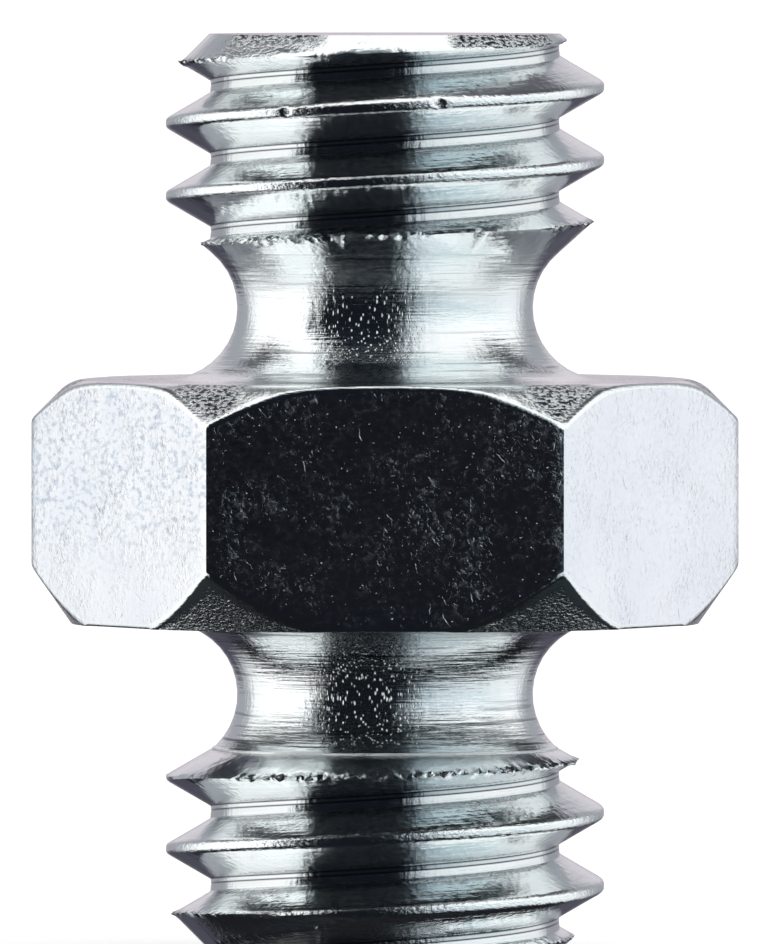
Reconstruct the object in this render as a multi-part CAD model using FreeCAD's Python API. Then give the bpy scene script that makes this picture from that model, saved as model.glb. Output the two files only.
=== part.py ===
import FreeCAD, Part
import math
import os

# Spigot adapter: a stud turned from one hexagon bar, with a male 3/8 in 16 UNC thread at each end.
# Millimetres, +Z along the axis, origin at the centre of the lower end face.
# Two flats of the hexagon face -Y and +Y, and two of its corners lie on the X axis.

# Lengths along the axis
lower_stub_length = 7.1
collar_thickness = 5.3
upper_stub_length = 7.5

# Thread: 3/8 in across, 16 threads an inch.
# Each crest drop is from the upper end, or the lower seat, to a crest at -X.
major_diameter = 9.525
pitch = 1.5875
flank_angle = 30.0
crest_flat_share = 1 / 8
root_flat_share = 1 / 6
upper_crest_drop = 1.94
lower_crest_drop = 3.32
end_chamfer_angle = 45.0
end_face_radius = 3.82

# Relief grooves between the threads and the collar, each a full-radius form that dies into the seat
relief_radius = 1.55
upper_runout_angle = 42.0
lower_runout_angle = 30.0
upper_runout_start = 1.20
lower_runout_start = 1.15

# Hexagon collar. Both chamfers start on a circle that stands just past the flats.
across_flats = 13.35
corner_radius = 0.10
rim_radius = 0.80
chamfer_past_flat = 0.145
upper_chamfer_angle = 45.0
lower_chamfer_angle = 55.0

# Overrun of the cutting forms past the metal
overrun = 0.10
bar_overrun = 1.0

major_radius = major_diameter / 2
thread_height = pitch * math.sqrt(3) / 2
thread_depth = (1 - crest_flat_share - root_flat_share) * thread_height
root_radius = major_radius - thread_depth
lower_seat = lower_stub_length
upper_seat = lower_seat + collar_thickness
top = upper_seat + upper_stub_length
corner_reach = across_flats / math.sqrt(3)
chamfer_radius = across_flats / 2 + chamfer_past_flat
upper_crest_height = top - upper_crest_drop
lower_crest_height = lower_seat - lower_crest_drop


def at(radius, height):
    return FreeCAD.Vector(radius, 0, height)


def slope(degrees):
    return math.tan(math.radians(degrees))


def arc_about(centre, radius, start, end):
    # Start and end are angles from the radial direction, in degrees
    points = []
    for angle in (start, (start + end) / 2, end):
        turn = math.radians(angle)
        points.append(centre + at(radius * math.cos(turn), radius * math.sin(turn)))
    return Part.Arc(*points)


def relief_arc(seat_height, away, runout_start):
    # From the seat round the bottom of the groove to the foot of the runout cone.
    # away is +1 above the collar and -1 below it. A spline of the same round form takes fewer facets.
    foot_angle = math.degrees(math.asin(runout_start / relief_radius))
    centre = at(major_radius, seat_height + away * relief_radius)
    arc = arc_about(centre, relief_radius, -90 * away, -away * (180 + foot_angle))
    return arc.toBSpline().toShape()


def chained(points):
    return [Part.makeLine(a, b) for a, b in zip(points, points[1:])]


def runout(seat_height, away, runout_start, angle):
    # The foot of the cone in the relief groove, and its rim at the major diameter
    foot_radius = major_radius - math.sqrt(relief_radius**2 - runout_start**2)
    foot_height = seat_height + away * (relief_radius + runout_start)
    rim_height = foot_height + away * (major_radius - foot_radius) * slope(angle)
    return at(foot_radius, foot_height), at(major_radius, rim_height)


def turned_envelope():
    # Everything the lathe leaves, before the threads are cut
    end_rise = (major_radius - end_face_radius) * slope(end_chamfer_angle)
    lower_foot, lower_rim = runout(lower_seat, -1, lower_runout_start, lower_runout_angle)
    upper_foot, upper_rim = runout(upper_seat, 1, upper_runout_start, upper_runout_angle)

    collar_reach = corner_reach + overrun
    lower_rise = (collar_reach - chamfer_radius) * slope(lower_chamfer_angle)
    upper_drop = (collar_reach - chamfer_radius) * slope(upper_chamfer_angle)
    tangent = rim_radius * slope(upper_chamfer_angle / 2)
    rim_centre = at(chamfer_radius - tangent, upper_seat - rim_radius)
    rim = arc_about(rim_centre, rim_radius, 90 - upper_chamfer_angle, 90)

    lower_stub = chained([
        at(0, 0),
        at(end_face_radius, 0),
        at(major_radius, end_rise),
        lower_rim,
        lower_foot,
    ])
    collar = chained([
        at(major_radius, lower_seat),
        at(chamfer_radius, lower_seat),
        at(collar_reach, lower_seat + lower_rise),
        at(collar_reach, upper_seat - upper_drop),
        rim.StartPoint,
    ])
    seat = chained([rim.EndPoint, at(major_radius, upper_seat)])
    upper_stub = chained([
        upper_foot,
        upper_rim,
        at(major_radius, top - end_rise),
        at(end_face_radius, top),
        at(0, top),
        at(0, 0),
    ])
    lower_relief = relief_arc(lower_seat, -1, lower_runout_start)
    upper_relief = relief_arc(upper_seat, 1, upper_runout_start)
    edges = lower_stub + [lower_relief] + collar + [rim.toShape()] + seat + [upper_relief] + upper_stub
    return Part.Face(Part.Wire(edges)).revolve(FreeCAD.Vector(0, 0, 0), FreeCAD.Vector(0, 0, 1), 360)


def hexagon_bar():
    sides = 6
    corners = []
    for index in range(sides + 1):
        turn = 2 * math.pi * index / sides
        x = corner_reach * math.cos(turn)
        y = corner_reach * math.sin(turn)
        corners.append(FreeCAD.Vector(x, y, -bar_overrun))
    bar = Part.Face(Part.makePolygon(corners)).extrude(FreeCAD.Vector(0, 0, top + 2 * bar_overrun))
    upright = [edge for edge in bar.Edges if edge.Vertexes[0].Z != edge.Vertexes[-1].Z]
    return bar.makeFillet(corner_radius, upright)


def helix_spine(turns):
    # One edge a turn keeps each swept face short
    edges = []
    for index in range(turns):
        turn = Part.makeHelix(pitch, pitch, major_radius)
        turn.translate(FreeCAD.Vector(0, 0, index * pitch))
        edges += turn.Edges
    return Part.Wire(edges)


def thread_space(start, turns, crest_height):
    # The space between two crests, carried up a right-hand helix from the start height
    half_root = root_flat_share * pitch / 2
    half_mouth = half_root + (thread_depth + overrun) * slope(flank_angle)
    outer = major_radius + overrun
    section = Part.makePolygon([
        at(root_radius, -half_root),
        at(outer, -half_mouth),
        at(outer, half_mouth),
        at(root_radius, half_root),
        at(root_radius, -half_root),
    ])
    sweep = Part.BRepOffsetAPI.MakePipeShell(helix_spine(turns))
    sweep.setFrenetMode(True)
    sweep.add(section)
    sweep.build()
    sweep.makeSolid()
    space = sweep.shape()
    space.translate(FreeCAD.Vector(0, 0, start))
    # A crest at -X has the space between crests opposite it, at +X
    space.rotate(FreeCAD.Vector(0, 0, 0), FreeCAD.Vector(0, 0, 1), 360 * (start - crest_height) / pitch)
    return space


def adapter():
    body = turned_envelope().common(hexagon_bar())
    # Each thread runs out in its relief groove and past its end of the bar
    lower_end = lower_seat - relief_radius
    lower_turns = math.ceil(lower_end / pitch + 1)
    lower = thread_space(lower_end - lower_turns * pitch, lower_turns, lower_crest_height)
    upper_start = upper_seat + relief_radius
    upper_turns = math.ceil((top - upper_start) / pitch + 1)
    upper = thread_space(upper_start, upper_turns, upper_crest_height)
    return body.cut(lower).cut(upper)


os.makedirs("parts", exist_ok=True)
solid = adapter().Solids[0]
solid.exportStep("parts/adapter_stud.step")
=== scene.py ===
import math

import bmesh
import bpy
import numpy as np
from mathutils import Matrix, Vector, noise


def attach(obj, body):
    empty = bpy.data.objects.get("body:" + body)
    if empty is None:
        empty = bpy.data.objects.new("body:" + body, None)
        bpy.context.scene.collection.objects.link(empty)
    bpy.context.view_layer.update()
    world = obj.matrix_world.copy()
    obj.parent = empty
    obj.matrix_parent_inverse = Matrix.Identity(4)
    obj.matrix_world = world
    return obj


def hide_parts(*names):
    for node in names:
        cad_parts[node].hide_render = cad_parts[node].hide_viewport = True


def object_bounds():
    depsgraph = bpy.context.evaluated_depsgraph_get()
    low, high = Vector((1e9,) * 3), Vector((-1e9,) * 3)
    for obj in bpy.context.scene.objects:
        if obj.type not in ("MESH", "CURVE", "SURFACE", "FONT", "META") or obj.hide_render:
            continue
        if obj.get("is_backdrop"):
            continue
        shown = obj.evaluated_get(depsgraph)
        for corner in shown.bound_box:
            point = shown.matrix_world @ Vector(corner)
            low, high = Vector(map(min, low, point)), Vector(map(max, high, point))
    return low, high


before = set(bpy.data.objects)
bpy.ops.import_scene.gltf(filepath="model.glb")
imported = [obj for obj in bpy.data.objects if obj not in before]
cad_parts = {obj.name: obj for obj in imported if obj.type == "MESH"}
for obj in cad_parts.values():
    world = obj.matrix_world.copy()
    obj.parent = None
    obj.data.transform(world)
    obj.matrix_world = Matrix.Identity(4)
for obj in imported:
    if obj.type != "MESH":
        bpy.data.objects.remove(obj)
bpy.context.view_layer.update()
scene = bpy.context.scene

# The adapter is one turned stud, so it is one watertight mesh here.
# Lengths are millimetres until the mesh is written, and +Z runs along the axis as in the solid.
MM = 0.001

# Heights
LOWER_SEAT = 7.1
UPPER_SEAT = 12.4
TOP = 19.9

# Thread, 3/8 in across and 16 to the inch. Each crest drop is from the upper end, or the lower seat,
# to a crest at -X.
MAJOR = 4.7625
PITCH = 1.5875
FLANK = math.tan(math.radians(30))
CREST_SHARE = 1 / 8
ROOT_SHARE = 1 / 6
THREAD_DEPTH = (1 - CREST_SHARE - ROOT_SHARE) * PITCH * math.sqrt(3) / 2
ROOT = MAJOR - THREAD_DEPTH
HALF_CREST = CREST_SHARE * PITCH / 2
HALF_RIDGE = HALF_CREST + THREAD_DEPTH * FLANK
UPPER_CREST_DROP = 1.94
LOWER_CREST_DROP = 3.32
UPPER_CREST = TOP - UPPER_CREST_DROP
LOWER_CREST = LOWER_SEAT - LOWER_CREST_DROP
CREST_ROUNDING = 0.10
ROOT_ROUNDING = 0.05

# Two fine lines that the tool leaves in the root of the thread: one at its upper edge, one a step
# below. They are sunk a little and darkened with painted shade, and the root round them gets a little
# painted shade too.
TOOL_LINE = 0.028
TOOL_STEP = 0.10
TOOL_LINE_DEPTH = 0.012
ROOT_SHADE = 0.16

# Ends with their 45 degree chamfers, relief grooves and their runout cones
END_RADIUS = 3.82
END_RISE = MAJOR - END_RADIUS
RELIEF = 1.55
UPPER_RUNOUT_START = 1.20
LOWER_RUNOUT_START = 1.15
UPPER_RUNOUT_SLOPE = math.tan(math.radians(42))
LOWER_RUNOUT_SLOPE = math.tan(math.radians(30))

# A small lip stands where the lower relief meets its runout cone
LIP = 0.034
LIP_REACH = 0.050

# Hexagon collar. Both chamfers start on a circle that stands just past the flats.
SIDES = 6
ACROSS_FLATS = 13.35
APOTHEM = ACROSS_FLATS / 2
CORNER_RADIUS = 0.16
CHAMFER_PAST_FLAT = 0.145
CHAMFER_RADIUS = APOTHEM + CHAMFER_PAST_FLAT
UPPER_CONE = math.radians(45)
LOWER_CONE_SLOPE = math.tan(math.radians(55))
RIM_RADIUS = 0.80
RIM_FLAT = CHAMFER_RADIUS - RIM_RADIUS * math.tan(UPPER_CONE / 2)
EDGE_BREAK = 0.10

# Strength of the turning marks, from 0 to 1. Each relief has one strength in its middle and one at
# its sides, and the gain says how soon the second is reached.
PLAIN_MARKS = 0.4
THREAD_MARKS = 0.35
CONE_MARKS_LESS = 0.22
END_MARKS = 0.7
SEAT_MARKS = 0.9
LOWER_CONE_MARKS = 0.5
UPPER_RELIEF_MARKS = (0.70, 0.90)
LOWER_RELIEF_MARKS = (0.80, 1.0)
RELIEF_SIDE_GAIN = 1.6

# Coarseness of the metal, from 0 for smooth to 1 for torn all over. The coarsest places also get painted
# shade in their torn hollows.
SMOOTH = 0.05
END_CHAMFER_COARSE = 0.03
CREST_COARSE = 0.22
LOWER_CONE_COARSE = 0.40

# The collar's upper chamfers are torn from this far past the flats, and from further out beside the
# front and back flats. A column is on one of those two if it stands this near to it.
TORN_PAST_FLAT = 0.30
TORN_PAST_FRONT_FLAT = 0.70
TORN_FADE = 0.15
ON_FLAT = 0.02

# On the thread, a tool line is full this far below the turned surface, and a cone this far inside the
# major diameter. A row that is nearer than the next two values is on a cone, or on the full crest.
CONE_FADE = 0.06
CONE_NEAR = 0.03
CREST_NEAR = 0.06

# Crumbs fade out this near to an end face
END_FADE = 0.2

# Rows beside a cut edge of the thread: how far its wear reaches, and the step from row to row on the
# crest, as a share of the crest's width, or at most of that reach
EDGE_REACH = 0.09
CREST_ROW_SHARE = 0.2
REACH_ROW_SHARE = 0.7

# Crumbs on the cut edges come from a random pattern 0.10 mm wide and a fifth as tall: how far they
# stand in or out, how far out they stand on the whole, how far they drop, how coarse they are
CRUMB_SIZE = 0.10
CRUMB_SQUASH = 5.0
CRUMB_DEPTH = 0.13
CRUMB_STAND = 0.20
CRUMB_DROP = 0.09
CRUMB_COARSE = 0.18
DROP_PATTERN = Vector((7.3, 1.9, 4.4))

# Edges are crumbled where a cone cuts the crest, and hardly elsewhere. The table below reaches only
# the former, and the faintest wear is left out.
CREST_CRUMBLE = 0.05
TABLE_FROM = 0.06
LEAST_CUT = 0.01

# Where cut edges are crumbled: lowest and highest height, from and to in degrees round from the
# camera's side, how much
CRUMBLED = [
    (18.8, 19.7, -100, -52, 1.0),
    (18.8, 19.7, -50, 200, 0.10),
    (15.0, 16.2, -85, 12, 1.0),
    (15.0, 16.2, 14, 60, 0.15),
    (15.0, 16.2, 60, 95, 0.8),
    (3.6, 4.5, -44, 62, 1.7),
    (3.6, 4.5, -95, -46, 0.12),
    (3.6, 4.5, 62, 95, 0.8),
    (0.2, 1.0, -100, 90, 0.7),
]
CRUMBLED_ELSEWHERE = 0.45

# Where a turned face is torn, in the same terms
TORN = [
    (19.66, 19.95, -58, -20, 1.0),
    (19.62, 19.95, 22, 66, 1.0),
    (19.25, 19.66, -66, -34, 0.35),
    (12.55, 12.95, -62, -42, 0.5),
    (12.55, 13.05, 40, 66, 0.6),
    (4.45, 4.95, 12, 64, 0.55),
    (4.45, 4.90, -60, -25, 0.30),
    (0.0, 0.75, -60, 20, 0.25),
]

# A tear at an end stops this far inside the edge of the end face
TORN_INSIDE_END = 0.05

# Where a neck is pitted, in the same terms
PITTED = [
    (4.45, 7.0, -190, 190, 0.12),
    (12.5, 15.1, -190, 190, 0.08),
    (4.45, 7.0, -25, 13, 1.0),
    (12.9, 14.3, -25, 12, 0.8),
]

# Over how many degrees a range in these tables fades at its sides
RANGE_FADE = 5.0

# Nicks: degrees from the camera's side, height, half width, half height, depth
NICKS = [
    (-26.7, 18.26, 0.07, 0.08, 0.10),
    (14.2, 18.44, 0.09, 0.08, 0.09),
    (29.0, 15.60, 0.08, 0.10, 0.10),
    (-27.0, 15.48, 0.09, 0.07, 0.09),
    (-14.0, 15.52, 0.09, 0.07, 0.09),
    (31.0, 2.95, 0.05, 0.09, 0.07),
    (-63.0, 3.78, 0.06, 0.06, 0.06),
]

# Columns of the mesh: one sixth of a turn, from a corner of the hexagon to the next
SIXTH = 360 / SIDES
SECTOR = 80
CORNER_STEPS = 3
GATHERING = 1.6
COLUMNS = SIDES * SECTOR
SEAM = math.pi / 2

# Rows of the mesh: places across a flank, counts, and the radii of an end face's rings. The last
# ring stands close inside the corner and keeps it sharp.
FLANK_SHARES = (0.35, 0.7)
END_CORNER = 0.005
RELIEF_ROWS = 14
SEAT_ROWS = 4
RIM_ROWS = 8
BREAK_ROWS = 4
SIDE_ROWS = 4
CONE_ROWS = 3
END_RINGS = (0.0, 0.05, 1.8, 3.2, 3.7, END_RADIUS - END_CORNER)

# Halvings in the search for a cut edge
BISECTIONS = 40

# Points nearer than this are one, in a column and at the seam, and an edge is sharp from this angle
SAME_POINT = 0.0005
SEAM_JOIN = 0.0001
SHARP_ANGLE = 40

# Camera, from the photograph's perspective. Its clip distances are metres.
CAMERA_DISTANCE = 550.0
CAMERA_HEIGHT = 24.6
AIM_HEIGHT = 10.38
LENS = 965.7
SENSOR = 36.0
NEAR_CLIP = 0.01
FAR_CLIP = 10.0


def linear(code):
    """An sRGB hex colour as linear RGBA."""
    made = []
    for start in (0, 2, 4):
        level = int(code[start:start + 2], 16) / 255
        made.append(level / 12.92 if level <= 0.04045 else ((level + 0.055) / 1.055) ** 2.4)
    return (*made, 1.0)


def add(tree, kind, inputs=None, stops=None, **settings):
    """A node with its settings, its socket values or links, and its colour stops."""
    made = tree.nodes.new(kind)
    for name, value in settings.items():
        setattr(made, name, value)
    for name, value in (inputs or {}).items():
        if isinstance(value, bpy.types.NodeSocket):
            tree.links.new(value, made.inputs[name])
        else:
            made.inputs[name].default_value = value
    if stops:
        ramp = made.color_ramp.elements
        while len(ramp) < len(stops):
            ramp.new(1.0)
        for element, (place, colour) in zip(ramp, stops):
            element.position = place
            element.color = colour
    return made


# Columns of the mesh

def column_angles():
    """Angles of the columns, even for the round parts and gathered at the corners for the hexagon."""
    half_sixth = SIXTH / 2
    across_corner = APOTHEM / math.cos(math.radians(half_sixth))
    tangent = math.atan(CORNER_RADIUS * math.tan(math.radians(half_sixth)) / across_corner)
    tangent = math.degrees(tangent)
    rest = SECTOR // 2 - CORNER_STEPS
    first = tangent / CORNER_STEPS * rest / (half_sixth - tangent)
    near = [tangent * k / CORNER_STEPS for k in range(CORNER_STEPS)]
    for k in range(rest + 1):
        t = k / rest
        near.append(tangent + (half_sixth - tangent) * (first * t + (1 - first) * t ** GATHERING))
    sector = near + [SIXTH - a for a in reversed(near[:-1])]
    gathered = []
    for index in range(SIDES):
        gathered += [SIXTH * index + a for a in sector[:-1]]
    gathered = np.radians(np.array(gathered + [360.0]))
    even = np.linspace(0, 2 * math.pi, COLUMNS + 1)
    return even + SEAM, gathered + SEAM


EVEN, GATHERED = column_angles()


def hexagon_reach(angle):
    """Distance from the axis to the side of the bar, with its rounded corners on the X axis."""
    off = (angle + math.pi / 6) % (math.pi / 3) - math.pi / 6
    flat = APOTHEM / np.cos(math.pi / 6 - np.abs(off))
    centre = (APOTHEM - CORNER_RADIUS) / math.cos(math.pi / 6)
    inside = np.clip(CORNER_RADIUS ** 2 - (centre * np.sin(off)) ** 2, 0, None)
    arc = centre * np.cos(off) + np.sqrt(inside)
    tangent = math.atan2(CORNER_RADIUS / 2, centre + CORNER_RADIUS * math.cos(math.pi / 6))
    return np.where(np.abs(off) < tangent, arc, flat)


REACH = hexagon_reach(GATHERED)


# Rows of the mesh, from the upper end down. Each holds one value a column of:
# angle, radius, height, the height of its helix, the strength of turning marks,
# how coarse the metal is, how much of a fine groove it is, which also sets its painted shade, and how
# crumbled.

rows = []


def row(radius, height, blend=0.0, marks=PLAIN_MARKS, coarse=0.0):
    """Adds a ring. blend 0 has even columns and 1 has them gathered at the hexagon's corners."""
    angle = EVEN + (GATHERED - EVEN) * blend
    full = np.ones(COLUMNS + 1)
    # On the ends and the collar the turning marks are rings, so they follow the radius
    on_end = np.all(height == 0) or np.all(height == TOP)
    line = radius if on_end else np.clip(radius - MAJOR, 0, None)
    groove = cut = 0
    rows.append((angle, *(value * full for value in (radius, height, line, marks, coarse, groove, cut))))


def smooth_min(a, b, width):
    """The smaller of two values, with the corner between them rounded over a width."""
    over = np.clip(width - np.abs(a - b), 0, None)
    return np.minimum(a, b) - over ** 2 / (4 * width)


def ridge_radius(height, crest, envelope):
    """Radius of the thread at a height, for the ridge whose crest line is given."""
    flank = MAJOR - (np.abs(height - crest) - HALF_CREST) / FLANK
    cut = -smooth_min(-flank, np.full_like(flank, -ROOT), ROOT_ROUNDING)
    return smooth_min(cut, envelope(height), CREST_ROUNDING)


def meeting(crest, envelope, side):
    """Height at which a flank meets the turned envelope, on one side of the crest."""
    near = crest.copy()
    far = crest + side * HALF_RIDGE
    for _ in range(BISECTIONS):
        middle = (near + far) / 2
        flank = MAJOR - (np.abs(middle - crest) - HALF_CREST) / FLANK
        above = flank > envelope(middle)
        near = np.where(above, middle, near)
        far = np.where(above, far, middle)
    return (near + far) / 2


def ridge_rows(crest, under, over):
    """Heights of one ridge's rows, from the root below it up, with how much of a groove each is, which
    also sets its painted shade.
    """
    foot = crest - HALF_RIDGE
    made = [
        (foot - TOOL_STEP - TOOL_LINE, ROOT_SHADE),
        (foot - TOOL_STEP, 1.0),
        (foot - TOOL_STEP + TOOL_LINE, ROOT_SHADE),
        (foot - TOOL_LINE, ROOT_SHADE),
        (foot, 1.0),
        (foot + TOOL_LINE, 0.0),
    ]
    low = foot + TOOL_LINE
    for share in FLANK_SHARES:
        made.append((low + (under - EDGE_REACH - low) * share, 0.0))
    made += [(under - EDGE_REACH, 0.0), (under - EDGE_REACH / 2, 0.0), (under, 0.0)]
    inward = np.minimum(CREST_ROW_SHARE * (over - under), REACH_ROW_SHARE * EDGE_REACH)
    for steps in (1, 2):
        made.append((under + steps * inward, 0.0))
    for steps in (2, 1):
        made.append((over - steps * inward, 0.0))
    made += [(over, 0.0), (over + EDGE_REACH / 2, 0.0), (over + EDGE_REACH, 0.0)]
    high = crest + HALF_RIDGE
    for share in reversed(FLANK_SHARES):
        made.append((high + (over + EDGE_REACH - high) * share, 0.0))
    made.append((high, ROOT_SHADE))
    return made


def thread_rows(low, high, crest_at_left, envelope):
    """The helical rows between two heights, from the upper one down."""
    # A right-hand crest climbs with the angle, and is at the given height at -X
    line = crest_at_left + PITCH * (EVEN - math.pi) / (2 * math.pi)
    first = math.floor((low - line.max()) / PITCH) - 1
    last = math.ceil((high - line.min()) / PITCH) + 1
    crests, levels, nearest, grooves_and_shade = [], [], [], []
    for index in range(first, last + 1):
        crest = line + index * PITCH
        under = meeting(crest, envelope, -1)
        over = meeting(crest, envelope, 1)
        for level, groove in ridge_rows(crest, under, over):
            crests.append(crest)
            levels.append(level)
            nearest.append(np.minimum(np.abs(level - under), np.abs(level - over)))
            grooves_and_shade.append(groove)
    # Rows that a cone squeezes past each other fall together
    levels = np.maximum.accumulate(np.array(levels), axis=0)
    found = []
    for crest, level, near, groove in zip(crests, levels, nearest, grooves_and_shade):
        at = np.clip(level, low, high)
        free = (at == level).astype(float)
        limit = envelope(at)
        radius = np.minimum(ridge_radius(at, crest, envelope), limit)
        # A row's groove share sinks it and sets the painted shade in its colour, and fades near the turned
        # envelope
        groove = groove * free * np.clip((limit - radius) / CONE_FADE, 0, 1)
        radius = radius - TOOL_LINE_DEPTH * groove
        cone = np.clip((MAJOR - limit) / CONE_FADE, 0, 1)
        turned_face = (radius > limit - CONE_NEAR) * cone
        on_crest = (radius > MAJOR - CREST_NEAR).astype(float)
        edge = np.exp(-(2 * near / EDGE_REACH) ** 2)
        inside = np.clip(np.minimum(at, TOP - at) / END_FADE, 0, 1)
        marks = THREAD_MARKS - CONE_MARKS_LESS * turned_face
        coarse = np.maximum(CREST_COARSE * on_crest, END_CHAMFER_COARSE * turned_face)
        cut = edge * free * inside * (CREST_CRUMBLE + (1 - CREST_CRUMBLE) * cone)
        found.append((EVEN, radius, at, line, marks, coarse, groove, cut))
    rows.extend(reversed(found))


def edge_curve(corner, before, after):
    """Points round a broken edge, from the face before it to the face after it."""
    start = [c + b * EDGE_BREAK for c, b in zip(corner, before)]
    end = [c + a * EDGE_BREAK for c, a in zip(corner, after)]
    made = []
    for k in range(BREAK_ROWS + 1):
        t = k / BREAK_ROWS
        made.append([
            (1 - t) ** 2 * s + 2 * t * (1 - t) * c + t ** 2 * e for s, c, e in zip(start, corner, end)
        ])
    return made


# Envelopes of the two stubs, as the lathe leaves them
upper_foot_radius = MAJOR - math.sqrt(RELIEF ** 2 - UPPER_RUNOUT_START ** 2)
upper_foot = UPPER_SEAT + RELIEF + UPPER_RUNOUT_START
upper_rim = upper_foot + (MAJOR - upper_foot_radius) * UPPER_RUNOUT_SLOPE
lower_foot_radius = MAJOR - math.sqrt(RELIEF ** 2 - LOWER_RUNOUT_START ** 2)
lower_foot = LOWER_SEAT - RELIEF - LOWER_RUNOUT_START
lower_rim = lower_foot - (MAJOR - lower_foot_radius) * LOWER_RUNOUT_SLOPE


def upper_envelope(height):
    """Radius of the upper stub before its thread is cut."""
    return np.interp(
        height,
        [upper_foot, upper_rim, TOP - END_RISE, TOP],
        [upper_foot_radius, MAJOR, MAJOR, END_RADIUS],
    )


def lower_envelope(height):
    """Radius of the lower stub before its thread is cut."""
    return np.interp(
        height,
        [0, END_RISE, lower_rim, lower_foot],
        [END_RADIUS, MAJOR, MAJOR, lower_foot_radius],
    )


def end_face(height, order):
    """Rings of a flat end face, from the middle out for order 1 and inwards for order -1."""
    for radius in END_RINGS[::order]:
        row(radius, height, marks=END_MARKS, coarse=SMOOTH)


def relief_rows(centre, start, end, middle_marks, side_marks):
    """The round bottom of a relief groove, between two angles from the radial direction."""
    for k in range(RELIEF_ROWS + 1):
        turn = start + (end - start) * k / RELIEF_ROWS
        radius = MAJOR + RELIEF * math.cos(turn)
        height = centre + RELIEF * math.sin(turn)
        side = min(1.0, RELIEF_SIDE_GAIN * abs(math.sin(turn)))
        row(radius, height, marks=middle_marks + (side_marks - middle_marks) * side, coarse=SMOOTH)


# From the upper end down to the upper relief groove
end_face(TOP, 1)
upper_low = upper_foot + max(0.0, ROOT - upper_foot_radius) * UPPER_RUNOUT_SLOPE
thread_rows(upper_low, TOP, UPPER_CREST, upper_envelope)
foot_turn = math.asin(UPPER_RUNOUT_START / RELIEF)
relief_rows(UPPER_SEAT + RELIEF, math.pi - foot_turn, 3 * math.pi / 2, *UPPER_RELIEF_MARKS)

# Top of the collar: a flat seat, a turned round rim, and the 45 degree chamfer at the corners
for k in range(1, SEAT_ROWS + 1):
    radius = MAJOR + (RIM_FLAT - MAJOR) * k / SEAT_ROWS
    row(radius, UPPER_SEAT, blend=k / SEAT_ROWS, marks=SEAT_MARKS)


def upper_face(radius):
    """Height of the collar's turned top, and the direction in which it falls outwards."""
    rim_width = RIM_RADIUS * math.sin(UPPER_CONE)
    cone_start = RIM_FLAT + rim_width
    cone_height = UPPER_SEAT - RIM_RADIUS * (1 - math.cos(UPPER_CONE))
    out = np.clip(radius - RIM_FLAT, 0, rim_width)
    arc = UPPER_SEAT - RIM_RADIUS + np.sqrt(RIM_RADIUS ** 2 - out ** 2)
    # At 45 degrees the cone falls as far as it runs out
    height = np.where(radius > cone_start, cone_height - (radius - cone_start), arc)
    tilt = np.where(radius > cone_start, UPPER_CONE, np.arcsin(out / RIM_RADIUS))
    return height, np.cos(tilt), -np.sin(tilt)


top_height, top_out, top_drop = upper_face(REACH)
inner = REACH - EDGE_BREAK * top_out
# The chamfers are torn round each corner, and less far beside the front and back flats
beside_front = np.abs(REACH * np.sin(GATHERED)) > APOTHEM - ON_FLAT
torn_from = np.where(beside_front, APOTHEM + TORN_PAST_FRONT_FLAT, APOTHEM + TORN_PAST_FLAT)
corner_side = np.clip((REACH - torn_from) / TORN_FADE, 0, 1)
for k in range(1, RIM_ROWS):
    radius = RIM_FLAT + (inner - RIM_FLAT) * k / RIM_ROWS
    row(radius, upper_face(radius)[0], blend=1.0, coarse=SMOOTH + (1 - SMOOTH) * corner_side)
for radius, height in edge_curve((REACH, top_height), (-top_out, -top_drop), (0, -1)):
    row(radius, height, blend=1.0)

# Sides of the hexagon
under_corner = np.clip(REACH - CHAMFER_RADIUS, 0, None)
side_low = LOWER_SEAT + under_corner * LOWER_CONE_SLOPE
side_high = top_height - EDGE_BREAK
cone_length = math.hypot(1, LOWER_CONE_SLOPE)
on_cone = REACH > CHAMFER_RADIUS
under_in = np.where(on_cone, -1 / cone_length, -1.0)
under_drop = np.where(on_cone, -LOWER_CONE_SLOPE / cone_length, 0.0)
for k in range(1, SIDE_ROWS):
    row(REACH, side_high + (side_low + EDGE_BREAK - side_high) * k / SIDE_ROWS, blend=1.0)
for radius, height in edge_curve((REACH, side_low), (0, 1), (under_in, under_drop)):
    row(radius, np.maximum(height, LOWER_SEAT), blend=1.0)

# Under the collar: the corner cone, then the flat seat
cone_outer = REACH + under_in * EDGE_BREAK
seat_outer = np.minimum(cone_outer, CHAMFER_RADIUS)
for k in range(1, CONE_ROWS + 1):
    radius = np.where(on_cone, np.maximum(cone_outer, CHAMFER_RADIUS), cone_outer)
    radius = radius + (seat_outer - radius) * k / CONE_ROWS
    height = LOWER_SEAT + np.clip(radius - CHAMFER_RADIUS, 0, None) * LOWER_CONE_SLOPE
    row(radius, height, blend=1.0, marks=LOWER_CONE_MARKS, coarse=LOWER_CONE_COARSE)
for k in range(1, SEAT_ROWS + 1):
    radius = seat_outer + (MAJOR - seat_outer) * k / SEAT_ROWS
    row(radius, LOWER_SEAT, blend=1 - k / SEAT_ROWS, marks=SEAT_MARKS)

# The lower relief groove ends in a small lip, where the runout cone begins
foot_turn = math.asin(LOWER_RUNOUT_START / RELIEF)
lip_turn = math.pi + foot_turn - LIP_REACH / RELIEF
relief_rows(LOWER_SEAT - RELIEF, math.pi / 2, lip_turn, *LOWER_RELIEF_MARKS)
row(lower_foot_radius + LIP, lower_foot)
lower_high = lower_foot - max(LIP_REACH, (ROOT - lower_foot_radius) * LOWER_RUNOUT_SLOPE)
thread_rows(0.0, lower_high, LOWER_CREST, lower_envelope)
end_face(0.0, -1)

angles, radii, heights, lines, marks, coarse, grooves_and_shade, cuts = (np.array(part) for part in zip(*rows))
row_count, width = radii.shape


# Wear: crumbs where a cone cuts the thread's crest, and single nicks

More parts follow.
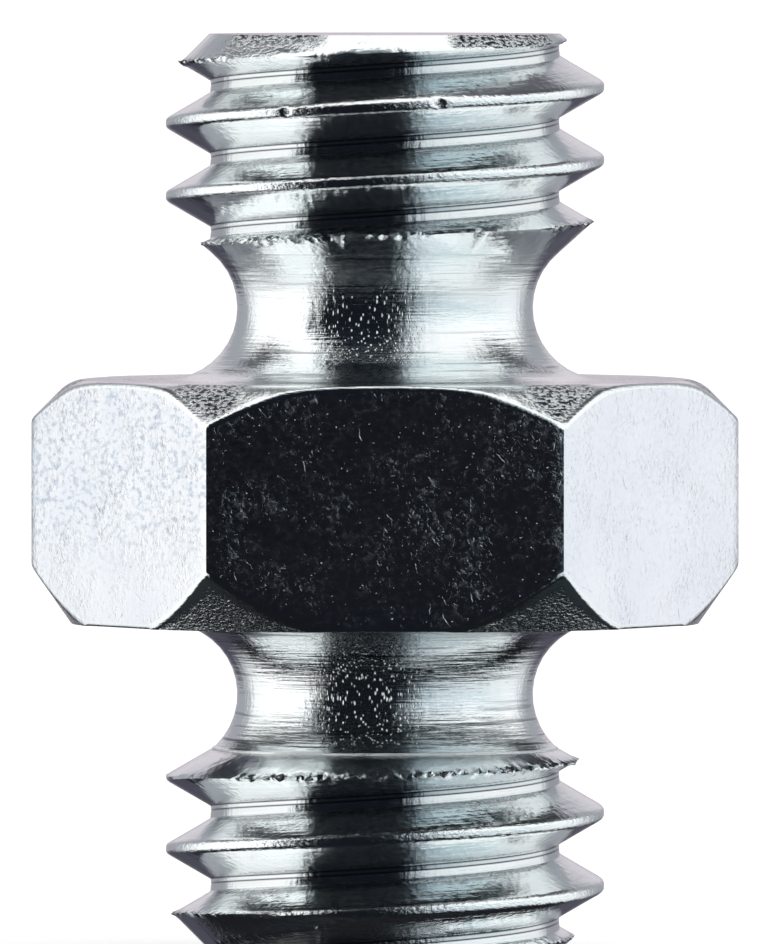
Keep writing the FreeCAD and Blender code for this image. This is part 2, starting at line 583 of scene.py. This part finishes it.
def number(grid_radii, grid_heights):
    """Numbers the points of the grid, with one number for neighbours in a column that coincide."""
    step = np.hypot(np.diff(grid_radii, axis=0), np.diff(grid_heights, axis=0))
    places = np.arange(row_count)[:, None] * np.ones((1, width), int)
    places[1:][step < SAME_POINT] = 0
    places = np.maximum.accumulate(places, axis=0)
    numbers = places * width + np.arange(width)
    poles = grid_radii < SAME_POINT
    return np.where(poles, places * width, numbers)


def within(low, high, start, end):
    """How far each point lies inside a range of heights and of degrees from the camera's side."""
    # The camera's side is -Y, at -90 degrees
    azimuth = (np.degrees(angles) + 90 + 180 - (start + end) / 2) % 360 - 180
    round_it = np.clip(((end - start) / 2 - np.abs(azimuth)) / RANGE_FADE + 0.5, 0, 1)
    return round_it * (heights >= low) * (heights <= high)


numbers = number(radii, heights)
crumbled = np.full_like(radii, CRUMBLED_ELSEWHERE)
for low, high, start, end, share in CRUMBLED:
    inside = within(low, high, start, end)
    crumbled = crumbled * (1 - inside) + share * inside
cuts = np.where(cuts > TABLE_FROM, cuts * crumbled, cuts)
beyond_end = radii > END_RADIUS - TORN_INSIDE_END
for low, high, start, end, share in TORN:
    coarse = np.maximum(coarse, within(low, high, start, end) * share * beyond_end)
pitted = np.zeros_like(radii)
for low, high, start, end, share in PITTED:
    pitted = np.maximum(pitted, within(low, high, start, end) * share)
for i, j in np.argwhere(cuts > LEAST_CUT):
    place = Vector((
        radii[i, j] * math.cos(angles[i, j]),
        radii[i, j] * math.sin(angles[i, j]),
        heights[i, j] * CRUMB_SQUASH,
    ))
    out = noise.noise(place / CRUMB_SIZE)
    up = noise.noise(place / CRUMB_SIZE + DROP_PATTERN)
    radii[i, j] += cuts[i, j] * CRUMB_DEPTH * (out + CRUMB_STAND)
    heights[i, j] += cuts[i, j] * CRUMB_DROP * up
for azimuth, height, wide, tall, depth in NICKS:
    across = radii * ((angles - math.radians(azimuth - 90) + math.pi) % (2 * math.pi) - math.pi)
    hit = np.exp(-(across / wide) ** 2 - ((heights - height) / tall) ** 2)
    radii -= depth * hit
    coarse = np.maximum(coarse, hit)
coarse = np.maximum(coarse, CRUMB_COARSE * cuts)
heights = np.clip(heights, 0, TOP)


# Mesh

points = np.stack([radii * np.cos(angles), radii * np.sin(angles), heights], axis=-1)
sweep = heights - lines
faces, face_sweeps = [], []
for i in range(row_count - 1):
    for j in range(width - 1):
        corners = {}
        for a, b in ((i, j), (i + 1, j), (i + 1, j + 1), (i, j + 1)):
            corners.setdefault(int(numbers[a, b]), float(sweep[a, b]))
        if len(corners) > 2:
            faces.append(list(corners))
            face_sweeps.extend(corners.values())

mesh = bpy.data.meshes.new("stud")
mesh.from_pydata((points.reshape(-1, 3) * MM).tolist(), [], faces)
# The groove layer also sets the painted shade of the root lines in the colour
layers = (("turning_marks", marks), ("coarseness", coarse), ("groove", grooves_and_shade), ("pitted", pitted))
for name, values in layers:
    layer = mesh.attributes.new(name, "FLOAT", "POINT")
    layer.data.foreach_set("value", values.astype(np.float32).ravel())
layer = mesh.attributes.new("sweep", "FLOAT", "CORNER")
layer.data.foreach_set("value", np.array(face_sweeps, np.float32))

work = bmesh.new()
work.from_mesh(mesh)
bmesh.ops.delete(work, geom=[v for v in work.verts if not v.link_faces], context="VERTS")
seam = [v for v in work.verts if any(e.is_boundary for e in v.link_edges)]
bmesh.ops.remove_doubles(work, verts=seam, dist=SEAM_JOIN * MM)
bmesh.ops.recalc_face_normals(work, faces=work.faces)
triangles = sum(len(f.verts) - 2 for f in work.faces)
open_edges = sum(1 for e in work.edges if not e.is_manifold)
print("faces", len(work.faces), "triangles", triangles, "open edges", open_edges)
work.to_mesh(mesh)
work.free()
mesh.shade_smooth()
mesh.set_sharp_from_angle(angle=math.radians(SHARP_ANGLE))
stud = bpy.data.objects.new("stud", mesh)
scene.collection.objects.link(stud)


# Materials

# A Mix node's two colours, and its result
COLOUR_A = 6
COLOUR_B = 7
COLOUR_OUT = 2


def new_finish(name):
    """An empty material, and its node tree."""
    made = bpy.data.materials.new(name)
    made.use_nodes = True
    made.node_tree.nodes.clear()
    return made, made.node_tree


def turned_noise(tree, place, sweep, around, across, detail):
    """A random pattern that follows the turning, with its size round the axis and across it in mm."""
    per_metre = 1 / (around * MM)
    ringed = add(tree, "ShaderNodeVectorMath", {
        0: place, 1: (per_metre, per_metre, 0),
    }, operation="MULTIPLY")
    up = add(tree, "ShaderNodeMath", {0: sweep, 1: 1 / across}, operation="MULTIPLY")
    up = add(tree, "ShaderNodeCombineXYZ", {"Z": up.outputs[0]})
    swept = add(tree, "ShaderNodeVectorMath", {0: ringed.outputs[0], 1: up.outputs[0]}, operation="ADD")
    return add(tree, "ShaderNodeTexNoise", {
        "Vector": swept.outputs[0], "Scale": 1.0, "Detail": detail,
    }).outputs["Fac"]


# Bright zinc plate over turned steel. It gives the eye a clear and cool mirror, streaked round the
# axis by the lathe, with fine lines in the thread's roots and grey, rough places where metal tore; painted
# shade darkens those lines and the torn hollows.
# Sizes and reliefs are millimetres. The camera shows 46 pixels a millimetre, so finer patterns than
# 0.05 mm don't show: the plate's own grain, a few thousandths in truth, is drawn far coarser.
MARK_AROUND = 10 / 7
MARK_ACROSS = 1 / 18
MARK_RELIEF = 0.0042
RIB_AROUND = 0.20
RIB_ACROSS = 5 / 3
RIB_RELIEF = 0.0016
HAIR_AROUND = 10 / 3
HAIR_ACROSS = 1 / 9
HAIR_SHADE = 0.8
TORN_GRAIN = 0.10
TORN_SQUASH = 2.0
TORN_RELIEF = 0.016
PLATE_GRAIN = 0.12
PLATE_RELIEF = 0.0045
PIT_CELL = 0.050
PIT_STRETCH = 0.24
PIT_DEPTH = 0.013
TURNED_BLOTCH = 1.6


def turned_zinc():
    """Bright zinc over turned steel."""
    made, tree = new_finish("bright_zinc_on_turned_steel")
    place = add(tree, "ShaderNodeTexCoord").outputs["Object"]
    sweep, strength, coarse, groove, pitted = (
        add(tree, "ShaderNodeAttribute", attribute_name=name).outputs["Fac"]
        for name in ("sweep", "turning_marks", "coarseness", "groove", "pitted")
    )

    # Turning marks 0.056 mm apart and 1.4 mm long follow the thread's helix
    mark = turned_noise(tree, place, sweep, MARK_AROUND, MARK_ACROSS, detail=4.0)
    mark = add(tree, "ShaderNodeMapRange", {
        "Value": mark, "From Min": 0.3, "From Max": 0.7, "To Min": -MARK_RELIEF, "To Max": MARK_RELIEF,
    }, clamp=False)
    mark = add(tree, "ShaderNodeMath", {0: mark.outputs[0], 1: strength}, operation="MULTIPLY")

    # Chatter of the tool leaves faint ribs 0.2 mm apart, which run 1.7 mm up the axis
    ribs = turned_noise(tree, place, sweep, RIB_AROUND, RIB_ACROSS, detail=2.0)
    ribs = add(tree, "ShaderNodeMapRange", {
        "Value": ribs, "From Min": 0.3, "From Max": 0.7, "To Min": -RIB_RELIEF, "To Max": RIB_RELIEF,
    }, clamp=False)

    # Painted shade of hairline grooves, 3.3 mm long and 0.11 mm apart, darkens the colour where the
    # turning marks are strong
    hairline_shade = turned_noise(tree, place, sweep, HAIR_AROUND, HAIR_ACROSS, detail=3.0)
    hairline_shade = add(tree, "ShaderNodeMapRange", {"Value": hairline_shade, "From Min": 0.58, "From Max": 0.66})
    strong = add(tree, "ShaderNodeMapRange", {
        "Value": strength, "From Min": 0.72, "From Max": 1.0, "To Min": 0.0, "To Max": HAIR_SHADE,
    })
    hairline_shade = add(tree, "ShaderNodeMath", {0: hairline_shade.outputs[0], 1: strong.outputs[0]}, operation="MULTIPLY")

    # Coarse metal is torn in grains 0.10 mm wide and 0.05 mm tall, and painted shade darkens the hollows
    # between them
    wide = add(tree, "ShaderNodeVectorMath", {
        0: place, 1: (1.0, 1.0, TORN_SQUASH),
    }, operation="MULTIPLY")
    tear = add(tree, "ShaderNodeTexNoise", {
        "Vector": wide.outputs[0], "Scale": 1 / (TORN_GRAIN * MM), "Detail": 4.0,
    }).outputs["Fac"]
    torn = add(tree, "ShaderNodeMapRange", {
        "Value": tear, "From Min": 0.3, "From Max": 0.7, "To Min": -TORN_RELIEF, "To Max": TORN_RELIEF,
    }, clamp=False)
    torn = add(tree, "ShaderNodeMath", {0: torn.outputs[0], 1: coarse}, operation="MULTIPLY")
    # Painted shade: the torn hollows' colour is darkened, more where the metal is coarser
    painted_hollow_shade = add(tree, "ShaderNodeMapRange", {
        "Value": tear, "From Min": 0.43, "From Max": 0.53, "To Min": 1.0, "To Max": 0.0,
    })
    torn_shade_share = add(tree, "ShaderNodeMapRange", {"Value": coarse, "From Min": 0.35, "From Max": 0.90})
    painted_hollow_shade = add(tree, "ShaderNodeMath", {0: painted_hollow_shade.outputs[0], 1: torn_shade_share.outputs[0]}, operation="MULTIPLY")
    # Painted shade from the torn hollows, the root grooves and the hairlines
    shade = add(tree, "ShaderNodeMath", {0: painted_hollow_shade.outputs[0], 1: groove}, operation="MAXIMUM")
    shade = add(tree, "ShaderNodeMath", {0: shade.outputs[0], 1: hairline_shade.outputs[0]}, operation="MAXIMUM")

    # The plate's own soft grain, drawn 0.12 mm wide so that it shows
    grain = add(tree, "ShaderNodeTexNoise", {
        "Vector": place, "Scale": 1 / (PLATE_GRAIN * MM), "Detail": 4.0,
    })
    fine = add(tree, "ShaderNodeMapRange", {
        "Value": grain.outputs["Fac"], "To Min": 0.0, "To Max": PLATE_RELIEF,
    })

    # Pits in cells 0.05 mm wide and 0.21 mm tall, deep in some cells and missing in others
    tall = add(tree, "ShaderNodeVectorMath", {
        0: place, 1: (1.0, 1.0, PIT_STRETCH),
    }, operation="MULTIPLY")
    cells = add(tree, "ShaderNodeTexVoronoi", {
        "Vector": tall.outputs[0], "Scale": 1 / (PIT_CELL * MM),
    })
    pit = add(tree, "ShaderNodeMapRange", {
        "Value": cells.outputs["Distance"],
        "From Min": 0.0, "From Max": 0.36, "To Min": -PIT_DEPTH, "To Max": 0.0,
    }, interpolation_type="SMOOTHSTEP")
    chosen = add(tree, "ShaderNodeSeparateColor", {"Color": cells.outputs["Color"]})
    chosen = add(tree, "ShaderNodeMapRange", {
        "Value": chosen.outputs[0], "From Min": 0.05, "From Max": 0.65,
    })
    pit = add(tree, "ShaderNodeMath", {0: pit.outputs[0], 1: chosen.outputs[0]}, operation="MULTIPLY")
    pit = add(tree, "ShaderNodeMath", {0: pit.outputs[0], 1: pitted}, operation="MULTIPLY")

    relief = mark.outputs[0]
    for height in (torn, fine, pit, ribs):
        relief = add(tree, "ShaderNodeMath", {0: relief, 1: height.outputs[0]}, operation="ADD").outputs[0]
    bump = add(tree, "ShaderNodeBump", {"Height": relief, "Distance": MM, "Strength": 1.0})

    # The plate's cool tint wanders a little, and painted shade makes grooves, hairlines and torn hollows
    # near black
    blotch = add(tree, "ShaderNodeTexNoise", {
        "Vector": place, "Scale": 1 / (TURNED_BLOTCH * MM), "Detail": 3.0,
    })
    tint = add(tree, "ShaderNodeValToRGB", {"Fac": blotch.outputs["Fac"]}, stops=[
        (0.30, linear("f1f6f7")), (0.50, linear("f5f9f9")), (0.70, linear("f7f9fa")),
    ])
    shaded = add(tree, "ShaderNodeMix", {
        "Factor": shade.outputs[0], COLOUR_A: tint.outputs["Color"], COLOUR_B: linear("2a2f36"),
    }, data_type="RGBA")
    roughness = add(tree, "ShaderNodeMapRange", {
        "Value": grain.outputs["Fac"], "From Min": 0.3, "From Max": 0.75, "To Min": 0.06, "To Max": 0.17,
    })
    shader = add(tree, "ShaderNodeBsdfPrincipled", {
        "Base Color": shaded.outputs[COLOUR_OUT], "Metallic": 1.0,
        "Roughness": roughness.outputs["Result"], "Normal": bump.outputs["Normal"],
    })
    add(tree, "ShaderNodeOutputMaterial", {"Surface": shader.outputs["BSDF"]})
    return made


def scratches(tree, place, apart, half_length, half_width, depth):
    """Straight scratches at random angles as a height, one in each cell of a random pattern."""
    cells = add(tree, "ShaderNodeTexVoronoi", {"Vector": place, "Scale": 1 / apart})
    chance = add(tree, "ShaderNodeSeparateColor", {"Color": cells.outputs["Color"]})
    angle = add(tree, "ShaderNodeMath", {0: chance.outputs[0], 1: 2 * math.pi}, operation="MULTIPLY")
    away = add(tree, "ShaderNodeVectorMath", {
        0: place, 1: cells.outputs["Position"],
    }, operation="SUBTRACT")
    turned = add(tree, "ShaderNodeVectorRotate", {
        "Vector": away.outputs[0], "Angle": angle.outputs[0],
    }, rotation_type="Y_AXIS")
    turned = add(tree, "ShaderNodeSeparateXYZ", {"Vector": turned.outputs["Vector"]})
    along = add(tree, "ShaderNodeMath", {0: turned.outputs["X"]}, operation="ABSOLUTE")
    along = add(tree, "ShaderNodeMapRange", {
        "Value": along.outputs[0],
        "From Min": half_length / 2, "From Max": half_length, "To Min": 1.0, "To Max": 0.0,
    })
    aside = add(tree, "ShaderNodeMath", {0: turned.outputs["Z"]}, operation="ABSOLUTE")
    aside = add(tree, "ShaderNodeMapRange", {
        "Value": aside.outputs[0], "From Min": 0.0, "From Max": half_width, "To Min": depth, "To Max": 0.0,
    })
    line = add(tree, "ShaderNodeMath", {0: along.outputs[0], 1: aside.outputs[0]}, operation="MULTIPLY")
    line = add(tree, "ShaderNodeMath", {0: line.outputs[0], 1: chance.outputs[1]}, operation="MULTIPLY")
    return line.outputs[0]


# Bright zinc plate over the drawn sides of the hexagon bar. It gives the eye flat mirrors, hazy in
# patches, with scratches at all angles, pale specks and, on the left, faint blue-grey dots.
# Sizes and reliefs are millimetres. Real scratches are about 0.01 mm wide, and are drawn 0.03 mm wide
# so that they show, and the mottle stands for a grain that is finer in truth.
PATCH = 0.9
BEND_SIZE = 0.25
BEND = 0.20
LONG_SCRATCH = {"apart": 0.60 * MM, "half_length": 0.17 * MM, "half_width": 0.016 * MM, "depth": -0.0035}
SHORT_SCRATCH = {"apart": 0.17 * MM, "half_length": 0.07 * MM, "half_width": 0.014 * MM, "depth": -0.0036}
SPECK = 0.06
SPECK_DEPTH = 0.008
MOTTLE = 0.12
MOTTLE_RELIEF = 0.004
MOTTLE_RELIEF_IN_PATCH = 0.016
DOT = 0.12
DOT_SQUASH = 0.6
DRAWN_BLOTCH = 1.8

# Where the dots fade, as places on the X axis and heights
DOTS_LEFT = -3.2
DOTS_RIGHT = 3.0
DOTS_LOW = 8.0
DOTS_HIGH = 9.6


def drawn_zinc():
    """Bright zinc over the drawn sides of the hexagon bar."""
    made, tree = new_finish("bright_zinc_on_drawn_flats")
    place = add(tree, "ShaderNodeTexCoord").outputs["Object"]
    sides = add(tree, "ShaderNodeSeparateXYZ", {"Vector": place})

    # Patches 0.9 mm wide hold more of the wear
    patch = add(tree, "ShaderNodeTexNoise", {
        "Vector": place, "Scale": 1 / (PATCH * MM), "Detail": 5.0,
    })
    patch = add(tree, "ShaderNodeMapRange", {
        "Value": patch.outputs["Fac"], "From Min": 0.38, "From Max": 0.66,
    }).outputs[0]

    # Scratches at all angles, a little bent: long and sparse ones, and short and close ones in patches
    bend = add(tree, "ShaderNodeTexNoise", {
        "Vector": place, "Scale": 1 / (BEND_SIZE * MM),
    }).outputs["Color"]
    bend = add(tree, "ShaderNodeVectorMath", {0: bend, "Scale": BEND * MM}, operation="SCALE")
    bent = add(tree, "ShaderNodeVectorMath", {0: place, 1: bend.outputs[0]}, operation="ADD").outputs[0]
    relief = scratches(tree, bent, **LONG_SCRATCH)
    short = scratches(tree, bent, **SHORT_SCRATCH)
    short = add(tree, "ShaderNodeMath", {0: short, 1: patch}, operation="MULTIPLY")

    # Single specks, from the peaks of a 0.06 mm pattern
    speck = add(tree, "ShaderNodeTexNoise", {
        "Vector": place, "Scale": 1 / (SPECK * MM), "Detail": 1.5,
    })
    pit = add(tree, "ShaderNodeMapRange", {
        "Value": speck.outputs["Fac"],
        "From Min": 0.74, "From Max": 0.82, "To Min": 0.0, "To Max": -SPECK_DEPTH,
    })

    # A mottle of the plate, fibrous, 0.12 mm wide and stronger in the same patches
    grain = add(tree, "ShaderNodeTexNoise", {
        "Vector": place, "Scale": 1 / (MOTTLE * MM), "Detail": 5.0, "Distortion": 0.6,
    })
    fine = add(tree, "ShaderNodeMapRange", {
        "Value": patch, "To Min": MOTTLE_RELIEF, "To Max": MOTTLE_RELIEF_IN_PATCH,
    })
    fine = add(tree, "ShaderNodeMath", {
        0: grain.outputs["Fac"], 1: fine.outputs[0],
    }, operation="MULTIPLY")
    for height in (short, pit, fine):
        relief = add(tree, "ShaderNodeMath", {0: relief, 1: height.outputs[0]}, operation="ADD").outputs[0]
    bump = add(tree, "ShaderNodeBump", {"Height": relief, "Distance": MM, "Strength": 1.0})

    # Blue-grey dots 0.2 mm wide and 0.12 mm tall, on the left flats and above their lowest part
    wide = add(tree, "ShaderNodeVectorMath", {
        0: place, 1: (DOT_SQUASH, DOT_SQUASH, 1.0),
    }, operation="MULTIPLY")
    dots = add(tree, "ShaderNodeTexNoise", {
        "Vector": wide.outputs[0], "Scale": 1 / (DOT * MM), "Detail": 3.0,
    })
    dots = add(tree, "ShaderNodeMapRange", {
        "Value": dots.outputs["Fac"], "From Min": 0.48, "From Max": 0.68,
    })
    left = add(tree, "ShaderNodeMapRange", {
        "Value": sides.outputs["X"],
        "From Min": DOTS_LEFT * MM, "From Max": DOTS_RIGHT * MM, "To Min": 1.0, "To Max": 0.12,
    })
    raised = add(tree, "ShaderNodeMapRange", {
        "Value": sides.outputs["Z"],
        "From Min": DOTS_LOW * MM, "From Max": DOTS_HIGH * MM, "To Min": 0.08, "To Max": 1.0,
    })
    dots = add(tree, "ShaderNodeMath", {0: dots.outputs[0], 1: left.outputs[0]}, operation="MULTIPLY")
    dots = add(tree, "ShaderNodeMath", {0: dots.outputs[0], 1: raised.outputs[0]}, operation="MULTIPLY")
    blotch = add(tree, "ShaderNodeTexNoise", {
        "Vector": place, "Scale": 1 / (DRAWN_BLOTCH * MM), "Detail": 3.0,
    })
    tint = add(tree, "ShaderNodeValToRGB", {"Fac": blotch.outputs["Fac"]}, stops=[
        (0.30, linear("eceef2")), (0.50, linear("f0f2f4")), (0.70, linear("f4f5f6")),
    ])
    dotted = add(tree, "ShaderNodeMix", {
        "Factor": dots.outputs[0], COLOUR_A: tint.outputs["Color"], COLOUR_B: linear("c4cdd7"),
    }, data_type="RGBA")

    # The plate is duller in the mottle, and most in the patches
    haze = add(tree, "ShaderNodeMapRange", {"Value": patch, "To Min": 0.24, "To Max": 0.38})
    roughness = add(tree, "ShaderNodeMapRange", {
        "Value": grain.outputs["Fac"],
        "From Min": 0.46, "From Max": 0.74, "To Min": 0.12, "To Max": haze.outputs[0],
    })
    shader = add(tree, "ShaderNodeBsdfPrincipled", {
        "Base Color": dotted.outputs[COLOUR_OUT], "Metallic": 1.0,
        "Roughness": roughness.outputs["Result"], "Normal": bump.outputs["Normal"],
    })
    add(tree, "ShaderNodeOutputMaterial", {"Surface": shader.outputs["BSDF"]})
    return made


# The drawn finish is on the upright faces of the collar, and the turned one on all the rest
UPRIGHT = 0.02
DRAWN_FROM_RADIUS = 6.5
mesh.materials.append(turned_zinc())
mesh.materials.append(drawn_zinc())
for face in mesh.polygons:
    middle = face.center
    upright = abs(face.normal.z) < UPRIGHT and LOWER_SEAT * MM < middle.z < UPPER_SEAT * MM
    if upright and middle.xy.length > DRAWN_FROM_RADIUS * MM:
        face.material_index = 1

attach(stud, "root")
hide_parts("adapter_stud")


# Studio

# White paper on the floor, in metres. It gives the eye a plain pale ground, lifted to white for the
# camera and in reflections and glass, and it keeps the adapter's shadow.
FLOOR_HALF = 3.0
FLOOR_LIFT = 0.62
WHITE = (1, 1, 1, 1)
floor_mesh = bpy.data.meshes.new("floor")
floor_corners = [
    (-FLOOR_HALF, -FLOOR_HALF, 0), (FLOOR_HALF, -FLOOR_HALF, 0),
    (FLOOR_HALF, FLOOR_HALF, 0), (-FLOOR_HALF, FLOOR_HALF, 0),
]
floor_mesh.from_pydata(floor_corners, [], [(0, 1, 2, 3)])
paper, tree = new_finish("white_paper_floor")
rays = add(tree, "ShaderNodeLightPath").outputs
seen = add(tree, "ShaderNodeMath", {
    0: rays["Is Camera Ray"], 1: rays["Is Glossy Ray"],
}, operation="MAXIMUM")
seen = add(tree, "ShaderNodeMath", {
    0: seen.outputs[0], 1: rays["Is Transmission Ray"],
}, operation="MAXIMUM")
matt = add(tree, "ShaderNodeBsdfDiffuse", {"Color": linear("f2f2f2")}).outputs["BSDF"]
lift = add(tree, "ShaderNodeEmission", {"Color": WHITE, "Strength": FLOOR_LIFT})
lifted = add(tree, "ShaderNodeAddShader", {0: matt, 1: lift.outputs["Emission"]})
mixed = add(tree, "ShaderNodeMixShader", {0: seen.outputs[0], 1: matt, 2: lifted.outputs["Shader"]})
add(tree, "ShaderNodeOutputMaterial", {"Surface": mixed.outputs["Shader"]})
floor_mesh.materials.append(paper)
floor = bpy.data.objects.new("floor", floor_mesh)
scene.collection.objects.link(floor)
# The metal mirrors the tent alone, also from below, so the floor neither shows in it nor shades it
floor.visible_glossy = False
floor.visible_shadow = False
floor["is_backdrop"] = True

world = bpy.data.worlds.new("light_tent")
world.use_nodes = True
tree = world.node_tree
tree.nodes.clear()

# Panels of the light tent, by azimuth: 0 is the camera's side and grows to its right.
# The camera looks out of a black opening, and grey gaps stand behind the two white sides.
BELOW = [
    (-180, "44444e"), (-154, "44444e"), (-146, "84868a"), (-128, "dadcde"), (-110, "f4f4f4"),
    (-58, "ffffff"), (-54, "11161b"), (16, "10141a"), (22, "2a323a"), (30, "a0aab0"),
    (60, "ced4d8"), (110, "e0e2e4"), (128, "d6d8da"), (146, "94969a"), (154, "50505a"),
    (180, "44444e"),
]
LEVEL = [
    (-180, "b0a8b0"), (-171, "b0a8b0"), (-167, "92949a"), (-140, "94969c"), (-132, "9c9ea2"),
    (-127, "e6eaee"), (-117, "eeeff1"), (-110, "ffffff"), (-62, "ffffff"), (-58, "f0f4f6"),
    (-54, "11161b"), (-12, "131419"), (12, "131419"), (16, "12161c"), (22, "2c343c"),
    (28, "82949c"), (38, "a4b8c0"), (58, "b4c8ce"), (82, "bdcdd2"), (104, "dae2e6"),
    (118, "e4e6ec"), (128, "e0e2e8"), (134, "989aa0"), (142, "92949a"), (166, "92949a"),
    (171, "b0a8b0"), (180, "b0a8b0"),
]
WALLS = [
    (-180, "cec8ce"), (-168, "bebac0"), (-160, "92949a"), (-140, "92949a"), (-132, "acaeb2"),
    (-124, "f0f0f0"), (-71, "ffffff"), (-66, "f0f4f6"), (-61, "12161c"), (13, "10141a"),
    (18, "848e94"), (23, "c4ced2"), (34, "dce2e6"), (50, "eaeef0"), (80, "f4f6f8"),
    (124, "ececec"), (132, "acaeb2"), (140, "92949a"), (160, "92949a"), (168, "bebac0"),
    (180, "cec8ce"),
]
ABOVE = [
    (-180, "58585e"), (-158, "58585e"), (-146, "56585c"), (-112, "505256"), (-104, "f2f2f2"),
    (-62, "ffffff"), (-56, "1a1e26"), (15, "12161c"), (21, "6a727a"), (27, "c4ccd0"),
    (34, "e0e4e8"), (60, "f0f0f0"), (94, "e8e8e8"), (104, "46494e"), (146, "4c4f54"),
    (158, "58585e"), (180, "58585e"),
]
TOP_EDGE = [
    (-180, "f4f4f4"), (-60, "f4f4f4"), (-54, "7c8488"), (16, "747c80"), (24, "f4f4f4"),
    (180, "f4f4f4"),
]
UNDER = [
    (-180, "1c1c20"), (-125, "17191c"), (-108, "23282c"), (-88, "26292c"), (-66, "131518"),
    (66, "131518"), (88, "242a2c"), (108, "242a2e"), (125, "17191c"), (180, "1c1c20"),
]
OVERHEAD = "f4f4f4"
TENT_STRENGTH = 1.24

# The belts from UNDER upwards, each with the elevations in degrees between which it takes over
BELTS = [
    (BELOW, -34, -22),
    (LEVEL, -10, -5),
    (WALLS, 3, 8),
    (ABOVE, 30, 38),
    (TOP_EDGE, 63, 69),
]
OVERHEAD_FROM = 79
OVERHEAD_FULL = 84

towards = add(tree, "ShaderNodeTexCoord").outputs["Generated"]
parts = add(tree, "ShaderNodeSeparateXYZ", {"Vector": towards})
ahead = add(tree, "ShaderNodeMath", {0: parts.outputs["Y"], 1: -1.0}, operation="MULTIPLY")
azimuth = add(tree, "ShaderNodeMath", {
    0: parts.outputs["X"], 1: ahead.outputs[0],
}, operation="ARCTAN2")
azimuth = add(tree, "ShaderNodeMapRange", {
    "Value": azimuth.outputs[0], "From Min": -math.pi, "From Max": math.pi,
})
rise = add(tree, "ShaderNodeMath", {0: parts.outputs["Z"]}, operation="ARCSINE")
rise = add(tree, "ShaderNodeMath", {0: rise.outputs[0]}, operation="DEGREES")


def panels(stops):
    """One belt of the tent, as colours round the azimuth."""
    places = [((angle + 180) / 360, linear(code)) for angle, code in stops]
    belt = add(tree, "ShaderNodeValToRGB", {"Fac": azimuth.outputs["Result"]}, stops=places)
    return belt.outputs["Color"]


def over(lower, upper, start, end):
    """The lower belt below one elevation and the upper belt above another, in degrees."""
    share = add(tree, "ShaderNodeMapRange", {
        "Value": rise.outputs[0], "From Min": start, "From Max": end,
    }, interpolation_type="SMOOTHSTEP")
    return add(tree, "ShaderNodeMix", {
        "Factor": share.outputs["Result"], COLOUR_A: lower, COLOUR_B: upper,
    }, data_type="RGBA").outputs[COLOUR_OUT]


# The metal sees the tent, and the camera sees plain white round the adapter
tent = panels(UNDER)
for belt, start, end in BELTS:
    tent = over(tent, panels(belt), start, end)
tent = over(tent, linear(OVERHEAD), OVERHEAD_FROM, OVERHEAD_FULL)
studio = add(tree, "ShaderNodeBackground", {"Color": tent, "Strength": TENT_STRENGTH})
white = add(tree, "ShaderNodeBackground", {"Color": WHITE, "Strength": 1.0})
rays = add(tree, "ShaderNodeLightPath").outputs
shown = add(tree, "ShaderNodeMixShader", {
    0: rays["Is Camera Ray"], 1: studio.outputs["Background"], 2: white.outputs["Background"],
})
add(tree, "ShaderNodeOutputWorld", {"Surface": shown.outputs["Shader"]})
scene.world = world

camera_data = bpy.data.cameras.new("camera")
camera_data.lens = LENS
camera_data.sensor_width = SENSOR
camera_data.clip_start = NEAR_CLIP
camera_data.clip_end = FAR_CLIP
camera = bpy.data.objects.new("camera", camera_data)
scene.collection.objects.link(camera)
camera.location = (0, -CAMERA_DISTANCE * MM, CAMERA_HEIGHT * MM)
aim = Vector((0, 0, AIM_HEIGHT * MM)) - camera.location
camera.rotation_mode = "QUATERNION"
camera.rotation_quaternion = aim.to_track_quat("-Z", "Y")
scene.camera = camera
scene.view_settings.view_transform = "Standard"

low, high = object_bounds()
